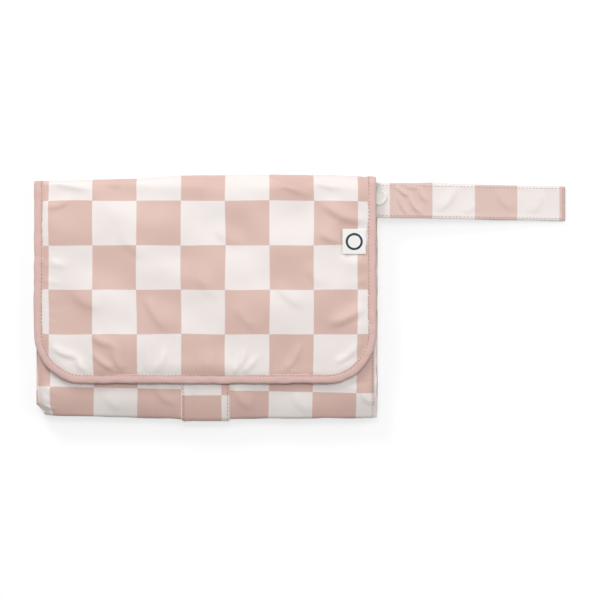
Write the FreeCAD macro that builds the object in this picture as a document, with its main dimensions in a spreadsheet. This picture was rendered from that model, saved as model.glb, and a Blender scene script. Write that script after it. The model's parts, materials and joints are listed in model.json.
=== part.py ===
"""Folding changing pad: a padded clutch with a flap, a mat folded behind it and a wrist strap.

The pad lies on its back, folded, as it is stored. +Z points away from the surface that it lies on,
+Y to the edge that the flap hangs from and +X to the wrist strap. The origin is the middle of the
back face. Every fold of the cloth is a half ring about the line that its two panels turn about.
"""
import FreeCAD, Part
import Sketcher
import math
import os
import re

# Driving sizes in millimetres: alias, value, what it is.
SIZES = [
    ("pad_width", 331.0, "Width of the folded panels"),
    ("pad_height", 240.0, "Height of the folded pad over its folds"),
    ("cover", 0.6, "Thickness of the coated cover cloth"),
    ("foam", 3.4, "Thickness of the foam in a mat panel"),
    ("leaf_gap", 0.4, "Free gap between folded panels"),
    ("hinge_gap", 0.5, "From a fold line to the stiff edge of its panel"),
    ("fold_wall", 1.2, "Thickness of the cloth that goes round a fold"),
    ("fold_ease", 0.2, "How far a fold stays inside the faces that it joins"),
    ("bound_edge", 4.0, "Width of the bound side edges of a mat panel"),
    ("end_length", 110.0, "Length of the end panel from its fold line"),
    ("end_inset", 2.5, "How much narrower the end panel is on each side"),
    ("pocket_depth", 7.0, "Space inside the storage pocket"),
    ("mouth_drop", 54.0, "From the pad's top edge down to the pocket's mouth"),
    ("pocket_lining", 0.5, "Thickness of the pocket's lining"),
    ("pocket_batting", 1.0, "Thickness of the pocket's batting"),
    ("pocket_cloth", 0.8, "Thickness of the pocket's outer cloth"),
    ("pocket_inset", 3.0, "How far the pocket's front ends inside the pad's right-hand edge"),
    ("pocket_lip", 10.0, "Seam allowance of the pocket's bottom on the back panel"),
    ("hem_width", 2.8, "Width of the hem at the pocket's right-hand side"),
    ("mesh_rise", 17.0, "From the pad's bottom edge up to the mesh pocket's seam"),
    ("mesh_height", 123.0, "Height of the mesh pocket"),
    ("mesh_inset", 20.5, "From the pad's side edge to the mesh pocket"),
    ("mesh_wall", 0.4, "Thickness of the mesh"),
    ("mesh_tape", 8.0, "Width of the tape on the mesh pocket's edge"),
    ("band_width", 46.8, "Width of the centre band on the pocket's front"),
    ("band_middle", -1.2, "Place of the centre band's middle across the pad"),
    ("band_drop", 84.0, "From the pad's top edge down to the centre band's upper end"),
    ("band_wall", 1.2, "Thickness of the centre band"),
    ("tape_width", 38.0, "Width of the hook and loop tapes"),
    ("tape_height", 40.0, "Height of the hook and loop tapes"),
    ("tape_rise", 54.0, "From the pad's bottom edge up to the tapes"),
    ("tape_wall", 0.8, "Thickness of each tape"),
    ("tape_gap", 0.3, "Free gap between the hooks and the loops"),
    ("flap_shift", 1.5, "How far the flap hangs to the left of the pad's middle"),
    ("flap_rise", 37.0, "From the pad's bottom edge up to the flap's lower edge"),
    ("flap_corner", 48.0, "Radius of the flap's lower corners"),
    ("flap_lining", 0.5, "Thickness of the flap's lining"),
    ("flap_batting", 2.4, "Thickness of the flap's batting"),
    ("binding_width", 9.5, "Width of the flap's binding"),
    ("binding_proud", 0.3, "How far the binding stands proud of the flap"),
    ("label_width", 22.8, "Width of the side label"),
    ("label_height", 24.5, "Height of the side label"),
    ("label_drop", 78.2, "From the pad's top edge down to the side label's lower edge"),
    ("label_wall", 0.8, "Thickness of the folded side label"),
    ("label_gap", 0.3, "Free gap under the side label"),
    ("strap_width", 34.0, "Width of the wrist strap"),
    ("strap_inset", 10.4, "From the pad's top edge down to the wrist strap"),
    ("strap_wall", 1.2, "Thickness of each layer of the wrist strap"),
    ("strap_space", 2.2, "Space between the wrist strap's two layers"),
    ("strap_stand", 12.0, "From the pad's side edge to the line that the strap swings about"),
    ("strap_reach", 170.0, "Length of the wrist strap from that line to its far fold"),
    ("strap_rest", 0.2, "Free gap under the strap's far fold"),
    ("strap_ease", 0.3, "Free gap between the strap's bends and its stiff layers"),
    ("strap_seat", 0.3, "Free gap under the strap's sewn root"),
    ("root_length", 27.3, "Length of the strap's sewn root"),
    ("tip_length", 19.3, "Length of the strap's free tip"),
    ("bend_ease", 0.2, "From the strap's bend line to its root and tip"),
    ("cap_radius", 7.6, "Radius of the snap's cap"),
    ("cap_height", 1.8, "Height of the snap's cap"),
    ("cap_round", 1.2, "Rounding of the cap's rim"),
    ("snap_ease", 0.8, "Free gap between the snap's cap and the strap's bends"),
    ("snap_rise", 4.4, "Height of the snap above the strap's middle"),
    ("post_radius", 1.2, "Radius of the post that joins cap and stud"),
    ("stud_radius", 2.0, "Radius of the snap's stud"),
    ("stud_short", 0.4, "How much shorter the stud is than its socket"),
    ("socket_radius", 5.6, "Outside radius of the snap's socket"),
    ("socket_gap", 0.2, "Free gap between the socket and the strap's tip"),
    ("stud_clearance", 0.4, "Radial gap between stud and socket"),
]
ALIASES = {alias for alias, _, _ in SIZES}

# Places as formulas of the driving sizes.
LEAF = "(2 * cover + foam)"
END_FLOOR = f"({LEAF} + leaf_gap)"
BACK_FLOOR = f"(2 * {LEAF} + 2 * leaf_gap)"
BACK_TOP = f"(3 * {LEAF} + 2 * leaf_gap)"
POCKET_ROOF = f"({BACK_TOP} + pocket_depth)"
FRONT_TOP = f"({POCKET_ROOF} + pocket_lining + pocket_batting + pocket_cloth)"
BAND_TOP = f"({FRONT_TOP} + band_wall)"
FLAP_FLOOR = f"({BAND_TOP} + 2 * tape_wall + tape_gap)"
FLAP_TOP = f"({FLAP_FLOOR} + flap_lining + flap_batting + cover)"
HALF_WIDTH = "(pad_width / 2)"
HALF_HEIGHT = "(pad_height / 2)"

# The lines that the panels turn about.
FLAP_AXIS_Z = f"(({FLAP_FLOOR} + {FLAP_TOP} + {BACK_FLOOR} + {BACK_TOP}) / 4)"
FLAP_AXIS_Y = f"({HALF_HEIGHT} - ({FLAP_TOP} - {FLAP_AXIS_Z}))"
MAT_AXIS_Z = f"({BACK_TOP} / 2)"
MAT_AXIS_Y = f"(-{HALF_HEIGHT} + {BACK_TOP} / 2)"
END_AXIS_Z = f"({LEAF} + leaf_gap / 2)"
END_AXIS_Y = f"({HALF_HEIGHT} - {LEAF} - leaf_gap / 2)"

POCKET_EAST = f"({HALF_WIDTH} - pocket_inset)"
POCKET_MOUTH = f"({HALF_HEIGHT} - mouth_drop)"
MESH_FOOT = f"(-{HALF_HEIGHT} + mesh_rise)"
MESH_TOP = f"({MESH_FOOT} + mesh_height)"
MESH_EAST = f"({HALF_WIDTH} - mesh_inset)"
TAPE_FOOT = f"(-{HALF_HEIGHT} + tape_rise)"
FLAP_WEST = f"(-{HALF_WIDTH} - flap_shift)"
FLAP_EAST = f"({HALF_WIDTH} - flap_shift)"
FLAP_FOOT = f"(-{HALF_HEIGHT} + flap_rise)"
LABEL_FOOT = f"({HALF_HEIGHT} - label_drop)"
ROOT_FLOOR = f"({BACK_TOP} + strap_seat)"
TIP_FLOOR = f"({ROOT_FLOOR} + strap_wall + strap_space)"
STRAP_AXIS_Z = f"({ROOT_FLOOR} + strap_wall + strap_space / 2)"
STRAP_HALF = "(strap_wall + strap_space / 2)"
STRAP_BEND = f"({HALF_WIDTH} + strap_stand)"
STRAP_NORTH = f"({HALF_HEIGHT} - strap_inset)"
STRAP_FOOT = f"({STRAP_NORTH} - strap_width)"
STRAP_CLEAR = f"({STRAP_HALF} + strap_ease)"
STRAP_DROP = f"({ROOT_FLOOR} - strap_rest)"
STRAP_TILT = f"asin({STRAP_DROP} / strap_reach)"
SNAP_X = f"({STRAP_BEND} - {STRAP_HALF} - snap_ease - cap_radius)"
SNAP_Y = f"({STRAP_FOOT} + strap_width / 2 + snap_rise)"
SOCKET_TALL = "(strap_space - socket_gap)"
STUD_TALL = f"({SOCKET_TALL} - stud_short)"

doc = FreeCAD.newDocument("changing_pad")
sheet = doc.addObject("Spreadsheet::Sheet", "sizes")
for row, (alias, value, meaning) in enumerate(SIZES, start=1):
    sheet.set(f"A{row}", meaning)
    sheet.set(f"B{row}", str(value))
    sheet.setAlias(f"B{row}", alias)
doc.recompute()

nodes = []


def with_sheet(formula):
    """Return a formula of plain aliases as an expression that reads the sheet."""

    def tied(word):
        return "sizes." + word[0] if word[0] in ALIASES else word[0]
    return re.sub(r"[a-z][a-z_]+", tied, formula)


def bind(item, name, formula):
    """Tie one property of an object to a formula of the driving sizes."""
    item.setExpression(name, with_sheet(formula))


def place(item, west, south, floor):
    """Tie an object's corner to three formulas."""
    bind(item, "Placement.Base.x", west)
    bind(item, "Placement.Base.y", south)
    bind(item, "Placement.Base.z", floor)


def turn(item, rotation):
    """Turn an object about its own corner."""
    item.Placement = FreeCAD.Placement(item.Placement.Base, rotation)


def keep(item, label):
    """Name an object as a piece of the pad."""
    item.Label = label
    nodes.append(item)
    return item


def origin_plane(body, role):
    """Return one of a body's own origin planes."""
    return next(plane for plane in body.Origin.OriginFeatures if plane.Role == role)


def rectangle(sketch, width, height):
    """Draw a rectangle from the sketch's origin, with its two sides tied to formulas."""
    corners = [FreeCAD.Vector(x, y, 0) for x, y in ((0, 0), (10, 0), (10, 10), (0, 10))]
    for start, end in zip(corners, corners[1:] + corners[:1]):
        sketch.addGeometry(Part.LineSegment(start, end), False)
    for side in range(4):
        direction = "Horizontal" if side % 2 == 0 else "Vertical"
        sketch.addConstraint(Sketcher.Constraint("Coincident", side, 2, (side + 1) % 4, 1))
        sketch.addConstraint(Sketcher.Constraint(direction, side))
    sketch.addConstraint(Sketcher.Constraint("Coincident", 0, 1, -1, 1))
    for name, kind, side, formula in (("wide", "DistanceX", 0, width), ("tall", "DistanceY", 1, height)):
        index = sketch.addConstraint(Sketcher.Constraint(kind, side, 1, side, 2, 10.0))
        sketch.renameConstraint(index, name)
        bind(sketch, f"Constraints.{name}", formula)


def slab(name, west, east, south, north, floor, thick, corner=None):
    """Make a flat panel between formulas; corner rounds its two lower corners."""
    body = doc.addObject("PartDesign::Body", name)
    sketch = body.newObject("Sketcher::SketchObject", name + "_outline")
    sketch.AttachmentSupport = [(origin_plane(body, "XY_Plane"), "")]
    sketch.MapMode = "FlatFace"
    rectangle(sketch, f"({east}) - ({west})", f"({north}) - ({south})")
    pad = body.newObject("PartDesign::Pad", name + "_pad")
    pad.Profile = sketch
    bind(pad, "Length", thick)
    body.Tip = pad
    place(body, west, south, floor)
    if corner:
        doc.recompute()
        edges = enumerate(pad.Shape.Edges, start=1)
        low = [f"Edge{number}" for number, edge in edges if is_low_upright(edge)]
        rounding = body.newObject("PartDesign::Fillet", name + "_corners")
        rounding.Base = (pad, low)
        bind(rounding, "Radius", corner)
        body.Tip = rounding
    return body


def is_low_upright(edge):
    """Say whether an edge stands upright on a panel's lower side."""
    box = edge.BoundBox
    return box.ZLength > 0.1 and box.XLength < 0.01 and box.YMax < 0.01


def box(name, west, east, south, north, floor, thick):
    """Make a plain block between formulas."""
    block = doc.addObject("Part::Box", name)
    bind(block, "Length", f"({east}) - ({west})")
    bind(block, "Width", f"({north}) - ({south})")
    bind(block, "Height", thick)
    place(block, west, south, floor)
    return block


def cylinder(name, radius, height, x, y, z, angle=360):
    """Make a cylinder whose sizes and foot are formulas."""
    drum = doc.addObject("Part::Cylinder", name)
    bind(drum, "Radius", radius)
    bind(drum, "Height", height)
    drum.Angle = angle
    place(drum, x, y, z)
    return drum


def half_ring(name, outer, wall, length, x, y, z, rotation):
    """Make the half ring of cloth that goes round a fold line."""
    whole = cylinder(name + "_outside", outer, length, x, y, z, 180)
    hollow = cylinder(name + "_inside", f"{outer} - {wall}", length, x, y, z, 180)
    turn(whole, rotation)
    turn(hollow, rotation)
    ring = doc.addObject("Part::Cut", name)
    ring.Base = whole
    ring.Tool = hollow
    return ring


def joined(name, pieces):
    """Join touching shapes into one."""
    fuse = doc.addObject("Part::MultiFuse", name)
    fuse.Shapes = pieces
    fuse.Refine = True
    return fuse


def side_strips(name, inset, south, north, floor):
    """Make the two bound side edges of a mat panel."""
    east = f"({HALF_WIDTH} - {inset})"
    left = box(name + "_left", f"-{east}", f"-{east} + bound_edge", south, north, floor, LEAF)
    right = box(name + "_right", f"{east} - bound_edge", east, south, north, floor, LEAF)
    pair = doc.addObject("Part::Compound", name)
    pair.Links = [left, right]
    return keep(pair, name)


def mat_panel(name, inset, south, north, floor, lining_up):
    """Make one padded mat panel: clean lining, foam, cover cloth and bound side edges."""
    east = f"({HALF_WIDTH} - {inset} - bound_edge)"
    first, last = ("cloth", "lining") if lining_up else ("lining", "cloth")
    layers = [(first, floor, "cover"),
              ("foam", f"{floor} + cover", "foam"),
              (last, f"{floor} + cover + foam", "cover")]
    for layer, level, thick in layers:
        keep(slab(f"{name}_{layer}", f"-{east}", east, south, north, level, thick), f"{name}_{layer}")
    side_strips(f"{name}_binding", inset, south, north, floor)


# The half rings start as cylinders along Z and are turned along the fold line.
TO_TOP = FreeCAD.Rotation(FreeCAD.Vector(0, 1, 0), 90)
TO_BOTTOM = FreeCAD.Rotation(FreeCAD.Vector(1, 0, 1), 180)


# ---- Mat: the middle panel lies on the table, the end panel is folded between it and the clutch
mat_panel("middle_panel", "0", f"{MAT_AXIS_Y} + hinge_gap", f"{END_AXIS_Y} - hinge_gap", "0", True)
mat_panel("end_panel", "end_inset", f"{END_AXIS_Y} - end_length", f"{END_AXIS_Y} - hinge_gap",
          END_FLOOR, False)
keep(half_ring("end_fold", f"({LEAF} + leaf_gap / 2 - fold_ease)", "fold_wall", "pad_width - 2 * end_inset",
               f"-{HALF_WIDTH} + end_inset", END_AXIS_Y, END_AXIS_Z, TO_TOP), "end_fold")
keep(half_ring("bottom_fold", f"({BACK_TOP} / 2 - fold_ease)", "fold_wall", "pad_width",
               f"-{HALF_WIDTH}", MAT_AXIS_Y, MAT_AXIS_Z, TO_BOTTOM), "bottom_fold")

# ---- Clutch: back panel
mat_panel("back_panel", "0", f"{MAT_AXIS_Y} + hinge_gap", f"{FLAP_AXIS_Y} - hinge_gap", BACK_FLOOR, False)

# ---- Clutch: front pocket, whose cloth turns round the bottom and is sewn to the back panel
POCKET_WEST = f"-{HALF_WIDTH}"
LIP_FLOOR = f"({BACK_TOP} + leaf_gap)"
POCKET_ROUND = f"(({FRONT_TOP} - {LIP_FLOOR}) / 2)"
POCKET_FOOT = f"(-{HALF_HEIGHT} + band_wall + {POCKET_ROUND})"
POCKET_MIDDLE = f"({LIP_FLOOR} + {POCKET_ROUND})"
POCKET_LENGTH = f"({POCKET_EAST} - ({POCKET_WEST}))"
front_wall = box("pocket_front_wall", POCKET_WEST, POCKET_EAST, POCKET_FOOT, POCKET_MOUTH,
                 f"{FRONT_TOP} - pocket_cloth", "pocket_cloth")
bottom_round = half_ring("pocket_bottom_round", POCKET_ROUND, "pocket_cloth", POCKET_LENGTH,
                         POCKET_WEST, POCKET_FOOT, POCKET_MIDDLE, TO_BOTTOM)
bottom_lip = box("pocket_bottom_lip", POCKET_WEST, POCKET_EAST, POCKET_FOOT, f"{POCKET_FOOT} + pocket_lip",
                 LIP_FLOOR, "pocket_cloth")
keep(joined("front_pocket_cloth", [front_wall, bottom_round, bottom_lip]), "front_pocket_cloth")
for layer, level in (("lining", POCKET_ROOF), ("batting", f"{POCKET_ROOF} + pocket_lining")):
    keep(slab(f"front_pocket_{layer}", f"{POCKET_WEST} + pocket_cloth", f"{POCKET_EAST} - pocket_cloth",
              POCKET_FOOT, POCKET_MOUTH, level, f"pocket_{layer}"), f"front_pocket_{layer}")
GUSSET_TALL = f"({FRONT_TOP} - pocket_cloth - {BACK_TOP})"
for side, west in (("left", POCKET_WEST), ("right", f"{POCKET_EAST} - pocket_cloth")):
    keep(slab(f"pocket_gusset_{side}", west, f"{west} + pocket_cloth", f"{POCKET_FOOT} + pocket_lip",
              POCKET_MOUTH, BACK_TOP, GUSSET_TALL), f"pocket_gusset_{side}")
keep(slab("pocket_side_hem", POCKET_EAST, f"{POCKET_EAST} + hem_width", POCKET_FOOT, POCKET_MOUTH,
          f"{POCKET_ROOF} + pocket_lining", "pocket_batting + pocket_cloth"), "pocket_side_hem")

# ---- Clutch: mesh pocket on the back panel, inside the storage pocket
keep(slab("mesh_pocket", f"-{MESH_EAST}", MESH_EAST, MESH_FOOT, MESH_TOP, BACK_TOP, "mesh_wall"), "mesh_pocket")
keep(slab("mesh_pocket_tape", f"-{MESH_EAST}", MESH_EAST, f"{MESH_TOP} - mesh_tape", MESH_TOP,
          f"{BACK_TOP} + mesh_wall", "mesh_wall"), "mesh_pocket_tape")

# ---- Clutch: centre band with the loop tape; it turns round the bottom and ends in the seam
BAND_WEST = "(band_middle - band_width / 2)"
BAND_EAST = "(band_middle + band_width / 2)"
BAND_HEAD = f"({HALF_HEIGHT} - band_drop)"
band_front = box("band_front", BAND_WEST, BAND_EAST, POCKET_FOOT, BAND_HEAD, FRONT_TOP, "band_wall")
band_turn = half_ring("band_turn", f"({POCKET_ROUND} + band_wall)", "band_wall", "band_width",
                      BAND_WEST, POCKET_FOOT, POCKET_MIDDLE, TO_BOTTOM)
above_seam = box("band_above_seam", BAND_WEST, BAND_EAST, f"-{HALF_HEIGHT} - band_wall", POCKET_FOOT,
                 POCKET_MIDDLE, f"{POCKET_ROUND} + 2 * band_wall")
band_quarter = doc.addObject("Part::Common", "band_quarter")
band_quarter.Base = band_turn
band_quarter.Tool = above_seam
band_tail = box("band_tail", BAND_WEST, BAND_EAST, f"-{HALF_HEIGHT}", f"-{HALF_HEIGHT} + band_wall",
                f"{LIP_FLOOR} + band_wall", f"{POCKET_ROUND} - band_wall")
keep(joined("centre_band", [band_front, band_quarter, band_tail]), "centre_band")
TAPE_WEST = "(band_middle - tape_width / 2)"
TAPE_EAST = "(band_middle + tape_width / 2)"
for kind, level in (("loop", BAND_TOP), ("hook", f"{FLAP_FLOOR} - tape_wall")):
    keep(slab(f"{kind}_tape", TAPE_WEST, TAPE_EAST, TAPE_FOOT, f"{TAPE_FOOT} + tape_height", level,
              "tape_wall"), f"{kind}_tape")

# ---- Flap: lining, batting, cloth and the binding round its three free edges
FLAP_HEAD = f"({FLAP_AXIS_Y} - hinge_gap)"
INNER = (f"{FLAP_WEST} + binding_width", f"{FLAP_EAST} - binding_width", f"{FLAP_FOOT} + binding_width")
INNER_CORNER = "flap_corner - binding_width"
layers = (("lining", FLAP_FLOOR, "flap_lining"),
          ("batting", f"{FLAP_FLOOR} + flap_lining", "flap_batting"),
          ("cloth", f"{FLAP_TOP} - cover", "cover"))
for layer, level, thick in layers:
    keep(slab(f"flap_{layer}", *INNER, FLAP_HEAD, level, thick, INNER_CORNER), f"flap_{layer}")
BINDING_FLOOR = f"({FLAP_FLOOR} - binding_proud)"
BINDING_TALL = f"({FLAP_TOP} - {FLAP_FLOOR} + 2 * binding_proud)"
binding = doc.addObject("Part::Cut", "flap_binding")
binding.Base = slab("binding_outside", FLAP_WEST, FLAP_EAST, FLAP_FOOT, FLAP_HEAD,
                    BINDING_FLOOR, BINDING_TALL, "flap_corner")
binding.Tool = slab("binding_inside", *INNER, f"{FLAP_HEAD} + binding_width", BINDING_FLOOR, BINDING_TALL,
                    INNER_CORNER)
keep(binding, "flap_binding")
keep(half_ring("top_fold", f"({FLAP_TOP} - {FLAP_AXIS_Z})", "fold_wall", f"{FLAP_EAST} + {HALF_WIDTH}",
               f"-{HALF_WIDTH}", FLAP_AXIS_Y, FLAP_AXIS_Z, TO_TOP), "top_fold")

# ---- Side label, sewn under the binding's inner edge
LABEL_EAST = f"({FLAP_EAST} - binding_width - hinge_gap)"
keep(slab("side_label", f"{LABEL_EAST} - label_width", LABEL_EAST, LABEL_FOOT, f"{LABEL_FOOT} + label_height",
          f"{FLAP_TOP} + label_gap", "label_wall"), "side_label")

# ---- Wrist strap: a loop of two layers, sewn on at its root and closed by a snap at its free tip
ROOT_EAST = f"({STRAP_BEND} - bend_ease)"
root = slab("strap_root", f"{STRAP_BEND} - root_length", ROOT_EAST, STRAP_FOOT, STRAP_NORTH,
            ROOT_FLOOR, "strap_wall")
keep(root, "strap_root")
tip_sheet = slab("tip_sheet", f"{STRAP_BEND} - tip_length", ROOT_EAST, STRAP_FOOT, STRAP_NORTH,
                 TIP_FLOOR, "strap_wall")
tip_hole = cylinder("tip_hole", "post_radius", "strap_wall", SNAP_X, SNAP_Y, TIP_FLOOR)
tip = doc.addObject("Part::Cut", "strap_tip")
tip.Base = tip_sheet
tip.Tool = tip_hole
keep(tip, "strap_tip")
for name, floor in (("strap_root_bend", ROOT_FLOOR), ("strap_tip_bend", TIP_FLOOR)):
    keep(slab(name, ROOT_EAST, f"{STRAP_BEND} + {STRAP_CLEAR} - bend_ease", STRAP_FOOT, STRAP_NORTH, floor,
              "strap_wall"), name)

doc.recompute()
strap_fall = root.Placement.Base.z - sheet.strap_rest
strap_tilt = math.degrees(math.asin(strap_fall / sheet.strap_reach))
tilt = FreeCAD.Rotation(FreeCAD.Vector(0, 1, 0), strap_tilt)
# Turns a cylinder along Z into one along Y whose half faces +X.
to_far_end = FreeCAD.Rotation(FreeCAD.Vector(1, 1, 1), -120)


def strap_layer(name, level):
    """Make one stiff layer of the strap, tilted about the strap's bend line."""
    layer = slab(name, "0", f"strap_reach - {STRAP_CLEAR} - hinge_gap", "0", "strap_width", "0", "strap_wall")
    turn(layer, tilt)
    near_x = f"{STRAP_BEND} + {STRAP_CLEAR} * cos({STRAP_TILT}) + ({level}) * sin({STRAP_TILT})"
    near_z = f"{STRAP_AXIS_Z} - {STRAP_CLEAR} * sin({STRAP_TILT}) + ({level}) * cos({STRAP_TILT})"
    place(layer, near_x, STRAP_FOOT, near_z)
    return keep(layer, name)


strap_layer("strap_back_layer", f"-{STRAP_HALF}")
strap_layer("strap_front_layer", "strap_space / 2")
keep(half_ring("strap_end_fold", STRAP_HALF, "strap_wall", "strap_width",
               f"{STRAP_BEND} + strap_reach * cos({STRAP_TILT})", STRAP_FOOT,
               f"{STRAP_AXIS_Z} - {STRAP_DROP}", tilt.multiply(to_far_end)), "strap_end_fold")

# ---- Snap: cap and post on the strap's tip, stud under it, socket on the strap's root
SNAP = (SNAP_X, SNAP_Y)
cap_disc = cylinder("cap_disc", "cap_radius", "cap_height", *SNAP, f"{TIP_FLOOR} + strap_wall")
doc.recompute()
rim = [number for number, edge in enumerate(cap_disc.Shape.Edges, start=1)
       if edge.BoundBox.ZMin > cap_disc.Shape.BoundBox.ZMax - 0.01 and edge.BoundBox.XLength > 1]
cap_dome = doc.addObject("Part::Fillet", "cap_dome")
cap_dome.Base = cap_disc
cap_dome.Edges = [(number, sheet.cap_round, sheet.cap_round) for number in rim]
cap_post = cylinder("cap_post", "post_radius", "strap_wall", *SNAP, TIP_FLOOR)
keep(joined("snap_cap", [cap_dome, cap_post]), "snap_cap")
keep(cylinder("snap_stud", "stud_radius", STUD_TALL, *SNAP, f"{TIP_FLOOR} - {STUD_TALL}"), "snap_stud")
socket = doc.addObject("Part::Cut", "snap_socket")
socket.Base = cylinder("socket_body", "socket_radius", SOCKET_TALL, *SNAP, f"{ROOT_FLOOR} + strap_wall")
socket.Tool = cylinder("socket_bore", "stud_radius + stud_clearance", SOCKET_TALL, *SNAP,
                       f"{ROOT_FLOOR} + strap_wall")
keep(socket, "snap_socket")

doc.recompute()
for item in doc.Objects:
    if "Invalid" in item.State or "Error" in item.State:
        raise RuntimeError(f"{item.Label} could not be built: {item.State}")
for node in nodes:
    if node.Shape.isNull() or not node.Shape.isValid() or not node.Shape.Solids:
        raise RuntimeError(f"{node.Label} has no sound solid")
os.makedirs("parts", exist_ok=True)
for node in nodes:
    node.Shape.exportStep(f"parts/{node.Label}.step")
    span = node.Shape.BoundBox
    print(f"{node.Label}: x {span.XMin:.2f}..{span.XMax:.2f} y {span.YMin:.2f}..{span.YMax:.2f} "
          f"z {span.ZMin:.2f}..{span.ZMax:.2f} volume {node.Shape.Volume:.0f}")
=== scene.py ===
"""Looks of a folded changing pad: padded clutch, bound flap, wrist strap, label and folded mat."""

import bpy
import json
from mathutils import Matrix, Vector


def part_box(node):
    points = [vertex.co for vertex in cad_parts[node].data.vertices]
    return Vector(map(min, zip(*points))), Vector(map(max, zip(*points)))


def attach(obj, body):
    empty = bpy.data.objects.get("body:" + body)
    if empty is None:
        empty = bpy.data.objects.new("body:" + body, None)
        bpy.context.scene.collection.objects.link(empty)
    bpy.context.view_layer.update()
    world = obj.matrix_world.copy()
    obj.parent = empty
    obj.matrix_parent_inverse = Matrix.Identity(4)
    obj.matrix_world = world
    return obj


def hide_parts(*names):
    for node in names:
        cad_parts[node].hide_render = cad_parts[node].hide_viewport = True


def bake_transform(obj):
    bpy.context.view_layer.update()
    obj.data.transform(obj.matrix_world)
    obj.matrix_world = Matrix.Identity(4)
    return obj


bl_info = {
    "name": "Folded changing pad",
    "version": (1, 0, 0),
    "blender": (4, 5, 0),
    "location": "3D View > Sidebar > Changing pad",
    "description": "Sews the looks of a folded changing pad round its packed frame",
    "category": "Object",
}

import json
import math
import bpy
import numpy as np
from types import SimpleNamespace as Place
from bpy.props import FloatProperty, FloatVectorProperty, PointerProperty
from mathutils import Vector, noise

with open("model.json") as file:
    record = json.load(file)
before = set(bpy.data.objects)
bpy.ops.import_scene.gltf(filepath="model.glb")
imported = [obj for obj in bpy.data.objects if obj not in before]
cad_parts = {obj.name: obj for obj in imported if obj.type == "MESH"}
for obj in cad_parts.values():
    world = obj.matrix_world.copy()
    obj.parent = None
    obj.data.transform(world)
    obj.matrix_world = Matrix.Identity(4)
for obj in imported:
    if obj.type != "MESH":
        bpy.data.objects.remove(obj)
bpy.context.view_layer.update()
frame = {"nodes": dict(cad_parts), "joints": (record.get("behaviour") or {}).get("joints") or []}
MM = 0.001
JOINTS = {joint["name"]: joint for joint in frame["joints"]}


def linear(code):
    """Turn an sRGB hex value into a linear colour."""
    parts = [int(code[i:i + 2], 16) / 255 for i in (1, 3, 5)]
    return [p / 12.92 if p <= 0.04045 else ((p + 0.055) / 1.055) ** 2.4 for p in parts]


def corner(node, end, axis):
    """Return one bound of a CAD node in metres: end 0 is low and 1 is high, axis is x, y or z."""
    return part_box(node)[end]["xyz".index(axis)]


def pivot(name):
    """Return the point that a joint turns about."""
    return np.array(JOINTS[name]["pos_m"], float)


# ---------------------------------------------------------------- settings

def length(name, description, size):
    """Make one length property from millimetres."""
    return FloatProperty(name=name, description=description, default=size * MM, unit="LENGTH")


class PadSizes(bpy.types.PropertyGroup):
    """Sizes of the cloth work that a maker would change."""
    check: length("Check", "Side of one printed check", 42.4)
    stitch: length("Stitch", "Length of one stitch", 2.5)
    pitch: length("Pitch", "From one stitch to the next", 3.6)
    thread: length("Thread", "Thickness of the thread", 0.5)
    ripple: length("Ripple", "Height of the ripples in loose cloth", 1.5)


def colour(name, description, code):
    """Make one colour property from an sRGB hex value."""
    return FloatVectorProperty(name=name, description=description, subtype="COLOR", size=3, min=0, max=1,
                               default=linear(code))


class PadColours(bpy.types.PropertyGroup):
    """Colours of the cloths, tapes and plastics."""
    rose: colour("Rose", "Rose checks of the cover cloth", "#DDBBB0")
    cream: colour("Cream", "Cream checks of the cover cloth", "#F2EAE6")
    tape: colour("Tape", "Bias tape of the binding", "#E1BEB6")
    thread: colour("Thread", "Sewing thread", "#A87C73")
    lining: colour("Lining", "Wipe-clean lining", "#E9E2DC")
    snap: colour("Snap", "Plastic of the snap", "#FAFAF2")
    label: colour("Label", "Woven label", "#F6F6F3")
    ink: colour("Ink", "Mark on the label", "#2C3140")


def sizes():
    """Return the pad's size settings."""
    return bpy.context.scene.pad_sizes


def colours():
    """Return the pad's colour settings."""
    return bpy.context.scene.pad_colours


# ---------------------------------------------------------------- mesh tools

def points(obj):
    """Return a mesh's points as an array."""
    co = np.empty(len(obj.data.vertices) * 3)
    obj.data.vertices.foreach_get("co", co)
    return co.reshape(-1, 3)


def set_points(obj, co):
    """Move a mesh's points."""
    obj.data.vertices.foreach_set("co", np.ascontiguousarray(co, float).ravel())
    obj.data.update()


def set_print(obj, flat):
    """Keep where each point lies on the flat cloth, in metres, as the UV map that patterns follow."""
    layer = obj.data.uv_layers.get("print") or obj.data.uv_layers.new(name="print")
    index = np.empty(len(obj.data.loops), int)
    obj.data.loops.foreach_get("vertex_index", index)
    layer.data.foreach_set("uv", np.ascontiguousarray(flat[index], float).ravel())
    obj.data.uv_layers.active = layer
    for other in [uv.name for uv in obj.data.uv_layers if uv.name != "print"]:
        obj.data.uv_layers.remove(obj.data.uv_layers[other])


def only(obj):
    """Select one object and nothing else."""
    bpy.ops.object.select_all(action="DESELECT")
    obj.select_set(True)
    bpy.context.view_layer.objects.active = obj


def edit(obj, *steps):
    """Run edit-mode steps on all of a mesh."""
    only(obj)
    bpy.ops.object.mode_set(mode="EDIT")
    bpy.ops.mesh.select_all(action="SELECT")
    for step in steps:
        step()
    bpy.ops.object.mode_set(mode="OBJECT")


def select_faces(obj, wanted):
    """Go into edit mode with only the wanted faces selected."""
    only(obj)
    bpy.ops.object.mode_set(mode="EDIT")
    bpy.ops.mesh.select_all(action="DESELECT")
    bpy.ops.object.mode_set(mode="OBJECT")
    for face in obj.data.polygons:
        face.select = wanted(face)
    bpy.ops.object.mode_set(mode="EDIT")


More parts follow.
